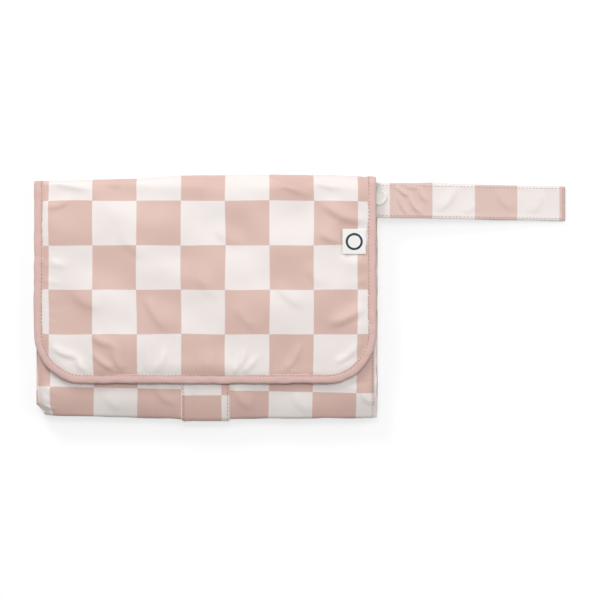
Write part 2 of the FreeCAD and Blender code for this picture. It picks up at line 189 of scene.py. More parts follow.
def grid(name, across, along):
    """Add a flat grid of one metre and return it with each point's place across and along, from 0 to 1."""
    bpy.ops.object.select_all(action="DESELECT")
    bpy.ops.mesh.primitive_grid_add(x_subdivisions=across, y_subdivisions=along, size=1)
    obj = bpy.context.object
    obj.name = name
    obj.data.name = name
    co = points(obj)
    return obj, co[:, 0] + 0.5, co[:, 1] + 0.5


def pad_blank(name, across, along):
    """Add a closed slab: a grid extruded into a top and a bottom face."""
    obj, _, _ = grid(name, across, along)
    edit(obj, lambda: bpy.ops.mesh.extrude_region_move(TRANSFORM_OT_translate={"value": (0, 0, 1)}),
         lambda: bpy.ops.mesh.select_all(action="SELECT"),
         lambda: bpy.ops.mesh.normals_make_consistent(inside=False))
    co = points(obj)
    return obj, co[:, 0] + 0.5, co[:, 1] + 0.5, co[:, 2] > 0.5


def close_tube(obj):
    """Join the seam of a grid rolled into a tube and close its two ends."""
    edit(obj, lambda: bpy.ops.mesh.remove_doubles(threshold=1e-6),
         lambda: bpy.ops.mesh.fill_holes(sides=0),
         lambda: bpy.ops.mesh.normals_make_consistent(inside=False))


def smooth(obj, levels=0, angle=None):
    """Subdivide a finished mesh and shade it smooth."""
    only(obj)
    if levels:
        modifier = obj.modifiers.new("Subdivision", "SUBSURF")
        modifier.levels = modifier.render_levels = levels
        bpy.ops.object.modifier_apply(modifier=modifier.name)
    if angle is None:
        bpy.ops.object.shade_smooth()
    else:
        bpy.ops.object.shade_smooth_by_angle(angle=angle)
    return obj


def lay(obj, places, flat, *finishes, levels=0, turn_out=False, under=None):
    """Put a blank's points in place, keep where they lie on the flat cloth and give it its finishes."""
    set_points(obj, places)
    if turn_out:
        edit(obj, lambda: bpy.ops.mesh.normals_make_consistent(inside=False))
    set_print(obj, flat)
    finish_piece(obj, *finishes)
    if under is not None:
        underside(obj, under)
    return smooth(obj, levels)


def outward(spots, higher):
    """Return the unit directions from spots to the places above them."""
    return (higher - spots) / np.linalg.norm(higher - spots, axis=1)[:, None]


def wave(x, y, size, seed):
    """Return smooth noise between about -1 and 1 over flat cloth; size is a ripple's width."""
    at = np.column_stack([np.ravel(x) / size, np.ravel(y) / size, np.full(np.size(x), seed * 7.31)])
    return np.array([noise.noise(Vector(p)) for p in at]).reshape(np.shape(x)) * 1.6


def ease(value, start, end):
    """Return 0 before start, 1 after end and a smooth step between."""
    t = np.clip((value - start) / (end - start), 0, 1)
    return t * t * (3 - 2 * t)


def stitch_row(name, places, directions, normals):
    """Copy one small stitch to each place, in one mesh; it lies along its direction."""
    size = sizes()
    bpy.ops.object.select_all(action="DESELECT")
    bpy.ops.mesh.primitive_uv_sphere_add(segments=6, ring_count=4, radius=0.5)
    one = bpy.context.object
    body = points(one)[:, [2, 0, 1]] * [size.stitch, size.thread, size.thread]
    faces = [list(face.vertices) for face in one.data.polygons]
    bpy.data.objects.remove(one)
    count = len(body)
    side = np.cross(normals, directions)
    shape = np.stack([directions, side, normals], axis=1)
    co = places[:, None, :] + np.einsum("ij,njk->nik", body, shape)
    mesh = bpy.data.meshes.new(name)
    mesh.from_pydata(co.reshape(-1, 3).tolist(), [],
                     [[v + count * i for v in face] for i in range(len(places)) for face in faces])
    obj = bpy.data.objects.new(name, mesh)
    bpy.context.collection.objects.link(obj)
    finish_piece(obj, "thread")
    return smooth(obj)


def row_of_places(path, length):
    """Return stitch places, directions and normals along path(distance) -> point, normal."""
    pitch = sizes().pitch
    steps = np.arange(pitch / 2, length, pitch)
    start, normals = path(steps - pitch / 4)
    end, _ = path(steps + pitch / 4)
    return (start + end) / 2, outward(start, end), normals


# ---------------------------------------------------------------- materials

# Noise in the finishes, in cells a metre: the print's soft edge is about 1.1 mm, clouds of dye are 36 mm and
# the coating's fine crumple is 6 mm. Mould grit is drawn at 0.4 mm, coarser than real, so that it shows.
PRINT_EDGE, DYE_CLOUD, COATING_CRUMPLE, MOULD_GRIT = 900, 28, 160, 2500
PRINT_BLUR = 0.5 * MM
RELIEF = 0.12 * MM
GRIT_RELIEF = 0.05 * MM


def node(tree, kind, links=(), **settings):
    """Add a shader node; links are (input, value or socket) pairs and settings are its properties."""
    made = tree.nodes.new(kind)
    for name, value in settings.items():
        setattr(made, name, value)
    for name, value in links:
        if isinstance(value, bpy.types.NodeSocket):
            tree.links.new(value, made.inputs[name])
        else:
            made.inputs[name].default_value = value
    return made


def new_material(name):
    """Make an empty material and return it with its tree and shader."""
    material = bpy.data.materials.new(name)
    material.use_nodes = True
    tree = material.node_tree
    tree.nodes.clear()
    shader = node(tree, "ShaderNodeBsdfPrincipled")
    node(tree, "ShaderNodeOutputMaterial", [("Surface", shader.outputs["BSDF"])])
    return material, tree, shader


def noise_height(tree, vector, scale, detail):
    """Return a socket with soft noise."""
    links = [("Vector", vector), ("Scale", scale), ("Detail", detail)]
    return node(tree, "ShaderNodeTexNoise", links).outputs["Fac"]


def scaled(tree, value, low, high):
    """Return a socket that runs from low to high with a value from 0 to 1."""
    return node(tree, "ShaderNodeMapRange", [("Value", value), ("To Min", low), ("To Max", high)]).outputs[0]


def dress(tree, shader, base, tone, height, bump, distance):
    """Give a shader its colour with a slight change of tone, and its relief."""
    tinted = node(tree, "ShaderNodeHueSaturation", [("Color", base), ("Value", tone)]).outputs[0]
    tree.links.new(tinted, shader.inputs["Base Color"])
    relief = node(tree, "ShaderNodeBump", [("Height", height), ("Strength", bump), ("Distance", distance)])
    tree.links.new(relief.outputs["Normal"], shader.inputs["Normal"])


def weave_height(tree, vector, thread):
    """Return a socket with the height of a plain weave of the given thread spacing."""
    waves = []
    for direction in ("X", "Y"):
        waves.append(node(tree, "ShaderNodeTexWave", [("Vector", vector), ("Scale", math.pi / (10 * thread))],
                          wave_type="BANDS", bands_direction=direction, wave_profile="SIN"))
    return node(tree, "ShaderNodeMath", [(0, waves[0].outputs["Fac"]), (1, waves[1].outputs["Fac"])],
                operation="ADD").outputs[0]


def printed_checks(tree, flat, first, second, start, pitch, turn):
    """Return a socket with the printed checks, whose edges bleed a little into the threads."""
    def vector_math(operation, value, other):
        return node(tree, "ShaderNodeVectorMath", [(0, value), other], operation=operation).outputs[0]
    place = node(tree, "ShaderNodeMapping", [("Vector", flat), ("Location", (*start, 0.1)),
                                             ("Rotation", (0, 0, turn))], vector_type="TEXTURE").outputs[0]
    bleed = node(tree, "ShaderNodeTexNoise", [("Vector", flat), ("Scale", PRINT_EDGE), ("Detail", 2)])
    shift = vector_math("SUBTRACT", bleed.outputs["Color"], (1, (0.5, 0.5, 0.5)))
    blur = vector_math("SCALE", shift, ("Scale", PRINT_BLUR))
    soft = vector_math("ADD", place, (1, blur))
    level = vector_math("MULTIPLY", soft, (1, (1, 1, 0)))
    inside = vector_math("ADD", level, (1, (0, 0, pitch / 2)))
    links = [("Vector", inside), ("Scale", 1 / pitch), ("Color1", (*first, 1)), ("Color2", (*second, 1))]
    return node(tree, "ShaderNodeTexChecker", links).outputs["Color"]


def cloth_material(name, first, second=None, start=(0, 0), pitch=None, turn=0,
                   rough=0.33, thread=0.9 * MM, bump=0.2):
    """Woven cloth, plain or printed with checks that start at a point of the flat cloth.

    A real thread of this cloth is 0.1 to 0.3 mm wide; the spacings here are coarser, so that the weave shows.
    """
    material, tree, shader = new_material(name)
    flat = node(tree, "ShaderNodeUVMap", uv_map="print").outputs["UV"]
    base = printed_checks(tree, flat, first, second, start, pitch, turn) if second else (*first, 1)
    fine = noise_height(tree, flat, COATING_CRUMPLE, 4)
    height = node(tree, "ShaderNodeMath", [(0, weave_height(tree, flat, thread)), (1, fine)],
                  operation="ADD").outputs[0]
    tone = scaled(tree, noise_height(tree, flat, DYE_CLOUD, 3), 0.955, 1.03)
    dress(tree, shader, base, tone, height, bump, RELIEF)
    tree.links.new(scaled(tree, fine, rough - 0.06, rough + 0.1), shader.inputs["Roughness"])
    shader.inputs["Specular IOR Level"].default_value = 0.5
    shader.inputs["Sheen Weight"].default_value = 0.12
    shader.inputs["Sheen Roughness"].default_value = 0.4
    return material


def plastic_material(name, tint):
    """Moulded acetal: satin, slightly warm, with faint mould texture."""
    material, tree, shader = new_material(name)
    grain = noise_height(tree, node(tree, "ShaderNodeTexCoord").outputs["Object"], MOULD_GRIT, 3)
    dress(tree, shader, (*tint, 1), scaled(tree, grain, 0.97, 1.02), grain, 0.1, GRIT_RELIEF)
    shader.inputs["Roughness"].default_value = 0.32
    shader.inputs["Subsurface Weight"].default_value = 0.1
    shader.inputs["Subsurface Radius"].default_value = (0.002, 0.002, 0.001)
    return material


def make_materials():
    """Make every finish once, named by what the real thing is."""
    size, tint = sizes(), colours()
    rose, cream = tuple(tint.rose), tuple(tint.cream)
    pitch = size.check
    # Each start is where a corner of the checks lies on that part's flat cloth.
    flap_start = (FLAP.west + 15.1 * MM, 92.6 * MM)
    front_start = (flap_start[0], -86.2 * MM)
    band_start = (14.1 * MM - pitch, -94.5 * MM)
    strap_start = (177.2 * MM - STRAP_PITCH, 72 * MM)
    strap_rose_painted_lighter = tuple(0.85 * r + 0.15 * c for r, c in zip(rose, cream))  # painted light: the rose is mixed towards cream so the strap looks more brightly lit

    def checks(part, first, start, side, turn=0):
        return cloth_material(f"coated_polyester_checks_{part}", first, cream, start, side, turn)
    made = {
        # Plain-woven polyester, printed and coated: soft gloss on creases, cloudy dye, edges that bleed.
        "flap_cloth": checks("flap", rose, flap_start, pitch),
        "front_cloth": checks("front", rose, front_start, pitch, math.radians(-1.2)),
        "band_cloth": checks("band", rose, band_start, pitch),
        # The strap's checks use the rose with painted light mixed in, so the strap reads lighter than the
        # flap.
        "strap_cloth": checks("strap", strap_rose_painted_lighter, strap_start, STRAP_PITCH),
        # The same cloth unprinted: it gives the hem the gloss of the checks.
        "hem": cloth_material("coated_polyester_cream_hem", cream),
        # Film-coated lining: smoother and flatter than the cover, with hardly any thread showing.
        "lining": cloth_material("wipe_clean_coated_lining", tuple(tint.lining), rough=0.33, bump=0.1),
        # Uncoated tape, folded on the bias: matt, with a clear thread.
        "binding": cloth_material("woven_polyester_bias_tape", tuple(tint.tape), rough=0.55,
                                  thread=0.7 * MM, bump=0.5),
        # Spun thread: matt and hairy, darker than the tape it holds.
        "thread": cloth_material("spun_polyester_thread", tuple(tint.thread), rough=0.6,
                                 thread=0.4 * MM, bump=0.4),
        # Woven hooks stand up in rows and break the light; brushed loops are the mattest of all.
        "hooks": cloth_material("hook_tape_nylon", cream, rough=0.7, thread=1.4 * MM, bump=1.0),
        "loops": cloth_material("loop_tape_brushed_nylon", cream, rough=0.85, thread=0.5 * MM, bump=1.0),
        # Satin-woven tape with an inwoven mark: close threads, low gloss, crisp dark ring.
        "label": cloth_material("woven_damask_label", tuple(tint.label), rough=0.5,
                                thread=0.6 * MM, bump=0.35),
        "ink": cloth_material("woven_label_thread_navy", tuple(tint.ink), rough=0.6,
                              thread=0.6 * MM, bump=0.4),
        # Warp-knitted mesh: wide open rows, so a coarse and strong relief.
        "mesh": cloth_material("knitted_pocket_mesh", cream, rough=0.7, thread=2.0 * MM, bump=1.0),
        # Injection-moulded acetal: an even satin white with light just under the surface.
        "snap": plastic_material("moulded_acetal_snap", tuple(tint.snap)),
    }
    for name, material in made.items():
        material["pad_finish"] = name


def finish_piece(obj, *names):
    """Give a piece its finishes; the second one is for its underside."""
    obj.data.materials.clear()
    found = {m.get("pad_finish"): m for m in bpy.data.materials}
    for name in names:
        obj.data.materials.append(found[name])


def underside(obj, under):
    """Give the faces whose points all lie on the underside the second finish."""
    for face in obj.data.polygons:
        if all(under[v] for v in face.vertices):
            face.material_index = 1


# ---------------------------------------------------------------- places, from the frame and given sizes

FLAP = Place(west=corner("flap_binding", 0, "x"), east=corner("flap_binding", 1, "x"),
             foot=corner("flap_binding", 0, "y"), top=corner("flap_cloth", 1, "z"),
             floor=corner("flap_lining", 0, "z"), round=48 * MM, tape=9.5 * MM, axis=pivot("flap_fold"))
FLAP.radius = FLAP.top - FLAP.axis[2]
FLAP.middle = (FLAP.west + FLAP.east) / 2
FLAP.length = FLAP.axis[1] - FLAP.foot + math.pi * FLAP.radius
FRONT = Place(west=corner("front_pocket_cloth", 0, "x"), east=corner("front_pocket_cloth", 1, "x"),
              mouth=corner("front_pocket_cloth", 1, "y"), foot=corner("front_pocket_cloth", 0, "y"),
              top=corner("front_pocket_cloth", 1, "z"), seam=corner("front_pocket_cloth", 0, "z"),
              shoulder=-82 * MM, heel=-114 * MM, lip=-104.5 * MM, widest=0.32, roll=1.9, cloth=2.2 * MM)
STRAP_BEND, STRAP_PITCH = 177.5 * MM, 41.6 * MM
STRAP = Place(bend=pivot("strap_swing"), far=pivot("strap_open"), south=corner("strap_back_layer", 0, "y"),
              north=corner("strap_back_layer", 1, "y"), inner=1.1 * MM, outer=2.3 * MM,
              root=STRAP_BEND - corner("strap_root", 0, "x"), tip=STRAP_BEND - corner("strap_tip", 0, "x"))
STRAP.reach = math.hypot(STRAP.far[0] - STRAP.bend[0], STRAP.far[2] - STRAP.bend[2])
STRAP.tilt = math.atan2(STRAP.bend[2] - STRAP.far[2], STRAP.far[0] - STRAP.bend[0])


# How far the top fold sags inwards and the bottom edge lifts: places across the pad, then amounts, in metres.
TOP_SAG = np.array([[-167, -150, -128, -110, -85, -68, -50, -30, -10, 30, 90, 120, 143, 156, 164],
                    [6.9, 6.6, 5.9, 5.0, 4.3, 4.2, 3.0, 1.4, 0.7, 0.2, 0.1, 0.6, 1.8, 2.5, 2.8]]) * MM
FOOT_LIFT = np.array([[-165, -155, -120, -70, -35, -25, 22, 35, 110, 160, 165],
                      [5.2, 4.2, 3.3, 2.0, 1.3, 0.2, 0.2, 1.2, 1.5, 1.4, 2.0]]) * MM


def over_flap(x, s, h):
    """Place flat points of the flap: s runs up it and on round the top fold, h is height off the cloth."""
    turn = np.clip((s - FLAP.axis[1]) / FLAP.radius, 0, math.pi)
    sag = np.interp(x, *TOP_SAG)
    reach = (FLAP.radius + h) * (1 - sag / FLAP.radius)
    flat = s < FLAP.axis[1]
    y = np.where(flat, s, FLAP.axis[1] + reach * np.sin(turn))
    z = np.where(flat, FLAP.top + h, FLAP.axis[2] + (FLAP.radius + h) * np.cos(turn))
    return np.column_stack([x, y, z])


def settle_edges(x, y):
    """Pull flat places of the lower layers in as the soft top, bottom and left-hand corner pull them."""
    low = 1 - ease(y, -119 * MM, -96 * MM)
    left = 1 - ease(x, -166 * MM, -138 * MM)
    sag = np.interp(x, *TOP_SAG) * ease(y, 84 * MM, 116 * MM)
    return x + 6.5 * MM * low ** 2 * left, y - sag + np.interp(x, *FOOT_LIFT) * low


def profile(corners, start):
    """Make a function that places cloth along a side view: it takes distance and height, returns y and z."""
    line = np.array(corners)
    run = np.concatenate([[0], np.cumsum(np.linalg.norm(np.diff(line, axis=0), axis=1))]) - start
    slope = np.gradient(line, axis=0)
    slope /= np.linalg.norm(slope, axis=1)[:, None]

    def at(distance, height):
        y = np.interp(distance, run, line[:, 0])
        z = np.interp(distance, run, line[:, 1])
        ty = np.interp(distance, run, slope[:, 0])
        tz = np.interp(distance, run, slope[:, 1])
        size = np.hypot(ty, tz)
        return y + height * tz / size, z - height * ty / size
    return at, run[-1]


def front_profile():
    """Return the pocket front's side view, from its mouth round the bottom; distance is minus y on top."""
    middle = FRONT.seam + FRONT.widest * (FRONT.top - FRONT.seam)
    rise, under = FRONT.top - middle, middle - FRONT.seam
    quarter = np.linspace(0, math.pi / 2, 24)
    line = [(FRONT.mouth, FRONT.top), (0, FRONT.top), (FRONT.shoulder + 2 * MM, FRONT.top)]
    line += [(FRONT.shoulder + (FRONT.foot - FRONT.shoulder) * math.sin(a),
              middle + rise * math.cos(a) ** FRONT.roll) for a in quarter]
    line += [(FRONT.heel + (FRONT.foot - FRONT.heel) * math.cos(a), middle - under * math.sin(a))
             for a in quarter[1:]]
    line.append((FRONT.lip, FRONT.seam))
    return profile(line, FRONT.mouth)


FRONT_AT, FRONT_END = front_profile()


def strap_line():
    """Return the strap's middle line: distance from the bend line, x, z and slope."""
    d = np.linspace(-30 * MM, STRAP.reach, 400)
    angle = STRAP.tilt * ease(d, -6 * MM, 8 * MM)
    step = np.gradient(d)
    x = np.cumsum(np.cos(angle) * step)
    z = -np.cumsum(np.sin(angle) * step)
    x += STRAP.far[0] - x[-1]
    z += STRAP.far[2] - z[-1]
    return d, x, z, angle


STRAP_LINE = strap_line()


def along_strap(d, y, h):
    """Place points of the strap: d runs out from the bend line, h is height off its middle."""
    line, x, z, angle = STRAP_LINE
    past = np.clip((d - STRAP.reach) / (STRAP.inner + STRAP.outer) * 2, 0, math.pi)
    a = np.interp(d, line, angle)
    turned = a + np.where(h >= 0, past, 0)
    slant = 1.7 * MM - 2.9 * MM * np.clip(d / STRAP.reach, -0.2, 1)
    return np.column_stack([np.interp(d, line, x) + h * np.sin(turned), y + slant,
                            np.interp(d, line, z) + h * np.cos(turned)])


# ---------------------------------------------------------------- loose cloth

def loose_cloth(name, width, length, across, along, growth, edge_growth):
    """Lay a sheet that is a little too big for its seams on its batting; return how far each point went."""
    sheet, a, b = grid(name, across, along)
    flat = np.column_stack([a * width, b * length, 0.15 * MM * (1 + wave(a * width, b * length, 18 * MM, 5))])
    set_points(sheet, flat)
    border = np.minimum.reduce([a * width, b * length, (1 - a) * width, (1 - b) * length])
    held = sheet.vertex_groups.new(name="held")
    held.add([int(i) for i in np.flatnonzero(border < 0.1 * MM)], 1.0, "REPLACE")
    full = sheet.vertex_groups.new(name="full")
    for i, edge in enumerate(border):
        full.add([i], float(max(0.0, 1 - edge / (22 * MM))), "REPLACE")
    bpy.ops.object.select_all(action="DESELECT")
    bpy.ops.mesh.primitive_plane_add(size=2, location=(0, 0, -0.6 * MM))
    batting = bpy.context.object
    batting.modifiers.new("Collision", "COLLISION")
    batting.collision.thickness_outer = 0.4 * MM
    batting.collision.cloth_friction = 8
    cloth = sheet.modifiers.new("Cloth", "CLOTH")
    cloth.settings.quality = 6
    cloth.settings.mass = 0.12
    cloth.settings.tension_stiffness = cloth.settings.compression_stiffness = 120
    cloth.settings.shear_stiffness = 8
    cloth.settings.bending_stiffness = 0.5
    cloth.settings.effector_weights.gravity = 0.15
    cloth.settings.vertex_group_mass = "held"
    cloth.settings.vertex_group_shrink = "full"
    cloth.settings.shrink_min = -growth
    cloth.settings.shrink_max = -edge_growth
    cloth.collision_settings.distance_min = 0.3 * MM
    cloth.point_cache.frame_start = 1
    cloth.point_cache.frame_end = 30
    scene = bpy.context.scene
    for step in range(1, 27):
        scene.frame_set(step)
    only(sheet)
    bpy.ops.object.modifier_apply(modifier=cloth.name)
    moved = points(sheet) - flat
    scene.frame_set(1)
    i, j = np.rint(b * along).astype(int), np.rint(a * across).astype(int)
    fields = []
    for axis, most in enumerate((0.9 * MM, 0.9 * MM, 2.2 * MM)):
        field = np.zeros((along + 1, across + 1))
        field[i, j] = np.clip(moved[:, axis], -most, most)
        fields.append(field)
    for obj in (sheet, batting):
        bpy.data.objects.remove(obj)
    return fields


def read_field(field, u, v):
    """Read a field at places across and along, from 0 to 1."""
    rows, columns = field.shape
    x, y = np.clip(u, 0, 1) * (columns - 1), np.clip(v, 0, 1) * (rows - 1)
    i, j = np.minimum(y.astype(int), rows - 2), np.minimum(x.astype(int), columns - 2)
    fy, fx = y - i, x - j
    return ((field[i, j] * (1 - fx) + field[i, j + 1] * fx) * (1 - fy)
            + (field[i + 1, j] * (1 - fx) + field[i + 1, j + 1] * fx) * fy)


# Creases as two ends, width and height in millimetres on the flat cloth; one side is steeper than the other.
FLAP_CREASES = [
    (-149, -47, -124, -57, 3.2, 1.0), (-124, -57, -119, -72, 3.0, 0.9), (-110, -37, -90, -46, 3.4, 1.1),
    (-90, -46, -80, -73, 3.4, 1.2), (-110, -54, -87, -71, 2.8, 0.9), (-58, -1, -38, -32, 5.5, 0.8),
    (-50, -73, -39, -52, 3.2, 0.8), (24, -74, 38, -52, 2.6, 0.8), (31, -74, 50, -56, 2.4, 0.7),
    (28, -8, 47, -30, 5.0, 0.6), (74, -72, 90, -46, 3.4, 0.8), (112, 88, 150, 70, 5.0, 1.2),
    (118, -26, 152, -10, 4.6, 1.2), (126, -62, 148, -44, 3.2, 0.8), (108, 62, 131, 52, 4.4, 0.9),
    (-154, 86, -132, 93, 3.0, 0.8), (-154, 38, -136, 30, 3.2, 0.7), (60, 118, 96, 98, 4.0, 1.0),
    (88, 120, 126, 104, 3.6, 0.9), (-106, 116, -82, 108, 3.0, 0.9), (-150, 112, -112, 104, 3.6, 0.9),
    (-84, 62, -60, 40, 6.0, 0.6), (8, 66, 34, 50, 6.5, 0.6), (66, 12, 92, -8, 6.0, 0.6),
    (96, 30, 112, 12, 5.0, 0.5), (-128, 4, -104, -10, 5.5, 0.7), (-8, 20, 12, 0, 6.5, 0.5),
]
STRAP_CREASES = [
    (183, 108, 196, 97, 2.2, 0.9), (196, 97, 207, 80, 2.4, 1.0), (185, 100, 194, 79, 2.0, 0.8),
    (205, 106, 213, 92, 2.2, 0.7), (190, 110, 206, 105, 2.0, 0.6), (226, 84, 242, 106, 4.5, 0.6),
    (250, 82, 260, 92, 4.0, 0.4), (282, 104, 296, 86, 5.0, 0.5), (316, 82, 328, 104, 5.0, 0.4),
]
FRONT_CREASES = [
    (-165, -86, -152, -104, 3.0, 1.0), (-165, -98, -150, -112, 2.6, 1.2), (-156, -80, -148, -96, 3.4, 0.6),
    (26, -86, 40, -108, 4.0, 0.8), (150, -92, 162, -104, 3.0, 0.9), (-100, -92, -84, -110, 5.0, 0.5),
    (84, -92, 98, -112, 5.0, 0.6), (-50, -88, -32, -104, 4.2, 0.7),
]


CREASE_LIFT = 1.4  # every height in the lists above is multiplied by this


def creases(x, y, folds):
    """Return the height of a list of creases over flat places."""
    total = np.zeros(np.shape(x))
    for x1, y1, x2, y2, width, height in folds:
        length = math.hypot(x2 - x1, y2 - y1) * MM
        ux, uy = (x2 - x1) * MM / length, (y2 - y1) * MM / length
        along = (x - x1 * MM) * ux + (y - y1 * MM) * uy
        across = -(x - x1 * MM) * uy + (y - y1 * MM) * ux
        across = across + 2 * MM * np.sin(along / length * math.pi)
        spread = np.where(across > 0, 1.5, 0.6) * width * MM
        fade = ease(along, -0.15 * length, 0.3 * length) * (1 - ease(along, 0.65 * length, 1.2 * length))
        total = total + CREASE_LIFT * height * MM * np.exp(-(across / spread) ** 2) * fade
    return total


def seam_puckers(along, gap, seed):
    """Return the small gathers that the thread pulls beside a seam; gap is the distance from the seam."""
    pull = np.maximum(0, wave(along, gap * 0.12, 7 * MM, seed)) * np.exp(-np.maximum(gap, 0) / (7 * MM))
    return 1.0 * MM * pull


# ---------------------------------------------------------------- flap

def flap_half_width(s, inset):
    """Return half the flap's width at height s, a given inset inside its outer edge."""
    straight = (FLAP.east - FLAP.west) / 2 - inset
    radius = FLAP.round - inset
    low = np.clip(FLAP.foot + FLAP.round - s, 0, radius)
    return straight - radius + np.sqrt(radius ** 2 - low ** 2)


def make_flap():
    """Sew the padded flap: print cloth over batting with a lining, on round the top fold."""
    inset, most, skin = 2.0 * MM, 3.0 * MM, 0.8 * MM
    padded, thin = 3.3 * MM, 1.4 * MM
    across, along = 132, 92
    wide, tall = FLAP.east - FLAP.west - 2 * inset, FLAP.length - inset
    dx, ds, rise = loose_cloth("flap_sheet", wide, tall, across, along, 0.012, 0.03)
    obj, u, v, side = pad_blank("flap_panel", across, along)
    s = FLAP.foot + inset + tall * v ** 1.15
    x = FLAP.middle + (2 * u - 1) * flap_half_width(s, inset)
    at = (x - FLAP.west - inset) / wide, (s - FLAP.foot - inset) / tall
    gap = edge_distance(x, s)
    calm = 1 - 0.7 * ease(s, FLAP.axis[1] - 6 * MM, FLAP.axis[1] + 8 * MM)
    settle = ease(gap, 0, 14 * MM) * calm
    around = np.arctan2(s + 10 * MM, x - FLAP.middle) * 140 * MM
    ripple = sizes().ripple * wave(x + 0.6 * s, s - 0.4 * x, 46 * MM, 17)
    h = (0.75 * read_field(rise, *at) + ripple + creases(x, s, FLAP_CREASES)) * ease(gap, 4 * MM, 20 * MM)
    h = np.minimum(h, most) * clear_of_label(x, s)
    h = h + seam_puckers(around, gap - FLAP.tape, 19) * ease(gap, FLAP.tape, FLAP.tape + 3 * MM)
    h = h * calm - 1.3 * MM * (1 - settle)
    thick = np.where(s < FLAP.axis[1] - 8 * MM, padded, thin)
    low = -thick + 0.9 * MM * (1 - ease(gap, 0, 12 * MM))
    height = np.where(side, h - 0.1 * MM, np.minimum(low, h - skin))
    sway = [0.7 * MM * wave(x, s, 55 * MM, seed) * settle for seed in (23, 29)]
    places = over_flap(x + (read_field(dx, *at) + sway[0]) * side,
                       s + (read_field(ds, *at) + sway[1]) * side, height)
    return lay(obj, places, np.column_stack([x, s]), "flap_cloth", "lining", levels=1, under=~side)


def clear_of_label(x, s):
    """Return 0 where the side label lies on the flap and 1 well away from it."""
    low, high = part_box("side_label")
    outside = np.hypot(np.maximum(0, np.maximum(low[0] - x, x - high[0])),
                       np.maximum(0, np.maximum(low[1] - s, s - high[1])))
    return ease(outside, 0, 10 * MM)


def edge_distance(x, s):
    """Return how far flat points of the flap lie inside its outer edge."""
    sideways = (FLAP.east - FLAP.west) / 2 - np.abs(x - FLAP.middle)
    upright = s - FLAP.foot
    near = (sideways < FLAP.round) & (upright < FLAP.round)
    curved = FLAP.round - np.hypot(FLAP.round - sideways, FLAP.round - upright)
    return np.where(near, curved, np.minimum(sideways, upright))


def binding_path(distance, inset):
    """Return places and outward directions along the flat flap's bound edge, and that edge's length."""
    radius = FLAP.round - inset
    leg = FLAP.length - FLAP.round
    foot = FLAP.east - FLAP.west - 2 * FLAP.round
    bend = radius * math.pi / 2
    pieces = np.cumsum([leg, bend, foot, bend, leg])
    d = np.asarray(distance)
    left = np.clip((d - pieces[0]) / radius, 0, math.pi / 2)
    right = np.clip((d - pieces[2]) / radius, 0, math.pi / 2)
    angle = left + right
    out = np.column_stack([-np.cos(angle), -np.sin(angle)])
    down = np.clip(d, 0, leg)
    east = np.clip(d - pieces[1], 0, foot)
    up = np.clip(d - pieces[3], 0, leg)
    top = FLAP.foot + FLAP.length
    centre = np.column_stack([FLAP.west + FLAP.round + east, top - down + up])
    return centre + out * radius, out, pieces[-1]


def make_binding():
    """Fold the bias tape round the flap's free edges and on over the top fold."""
    half, inset = FLAP.tape / 2, FLAP.tape / 2
    length = binding_path(np.zeros(1), inset)[2]
    obj, u, v = grid("flap_binding_tape", 28, 760)
    turn = u * 2 * math.pi
    d = v * length
    place, out, _ = binding_path(d, inset)
    pucker = wave(d, d * 0 + 1, 9 * MM, 11) * 0.35 * MM + wave(d, d * 0, 24 * MM, 12) * 0.4 * MM
    a = half * np.sign(np.cos(turn)) * np.abs(np.cos(turn)) ** 0.7
    b = 2.0 * MM * np.sign(np.sin(turn)) * np.abs(np.sin(turn)) ** 0.8
    b = b + wave(d, a, 7 * MM, 13) * 0.22 * MM * (np.sin(turn) > 0)
    a = a + pucker
    groove = np.exp(-((a + half - 2.2 * MM) / (0.8 * MM)) ** 2) * (np.sin(turn) > 0)
    b = b - groove * (0.45 + 0.25 * np.sin(d * 2 * math.pi / sizes().pitch)) * MM
    middle = -(FLAP.top - FLAP.floor) / 2 + 0.1 * MM
    thin = 1 - 0.35 * ease(place[:, 1], FLAP.axis[1], FLAP.axis[1] + 8 * MM)
    height = (middle * thin) + b * thin
    set_points(obj, over_flap(place[:, 0] + out[:, 0] * a, place[:, 1] + out[:, 1] * a, height))
    set_print(obj, np.column_stack([a, d]))
    close_tube(obj)
    finish_piece(obj, "binding")
    return smooth(obj), length


def binding_stitches(length):
    """Sew the row of stitches that holds the tape, 2.2 mm from its inner edge."""
    inset = FLAP.tape - 2.2 * MM

    def path(distance):
        scale = distance / length * binding_path(np.zeros(1), inset)[2]
        place, _, _ = binding_path(scale, inset)
        spots, higher = (over_flap(place[:, 0], place[:, 1], np.full(len(place), h))
                         for h in (0.05 * MM, 1.05 * MM))
        return spots, outward(spots, higher)
    return stitch_row("flap_binding_stitches", *row_of_places(path, length))


def sew_flap():
    """Make the flap with its binding, stitches and hook tape, and hang the hook tape on the flap's body."""
    cover = make_flap()
    tape, length = make_binding()
    stitches = binding_stitches(length)
    for obj in (cover, tape, stitches):
        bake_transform(obj)
    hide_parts("flap_cloth", "flap_batting", "flap_lining", "top_fold")
    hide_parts("flap_binding")
    hooks = make_tape("hook_tape_pad", "hook_tape", "hooks")
    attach(hooks, "flap")


def make_tape(name, cad_node, finish):
    """Cut one hook or loop tape with soft edges."""
    obj, u, v, side = pad_blank(name, 38, 40)
    lo, hi = (np.array(c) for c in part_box(cad_node))
    x, y = lo[0] + (hi[0] - lo[0]) * u, lo[1] + (hi[1] - lo[1]) * v
    edge = np.minimum.reduce([x - lo[0], hi[0] - x, y - lo[1], hi[1] - y])
    middle, half = (lo[2] + hi[2]) / 2, (hi[2] - lo[2]) / 2
    puff = half * (0.55 + 0.45 * ease(edge, 0, 1.5 * MM)) + wave(x, y, 1.6 * MM, 21) * 0.06 * MM
    places = np.column_stack([x, y, middle + np.where(side, puff, -puff)])
    lay(obj, places, places[:, :2], finish)
    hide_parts(cad_node)
    return obj


# ---------------------------------------------------------------- pocket front

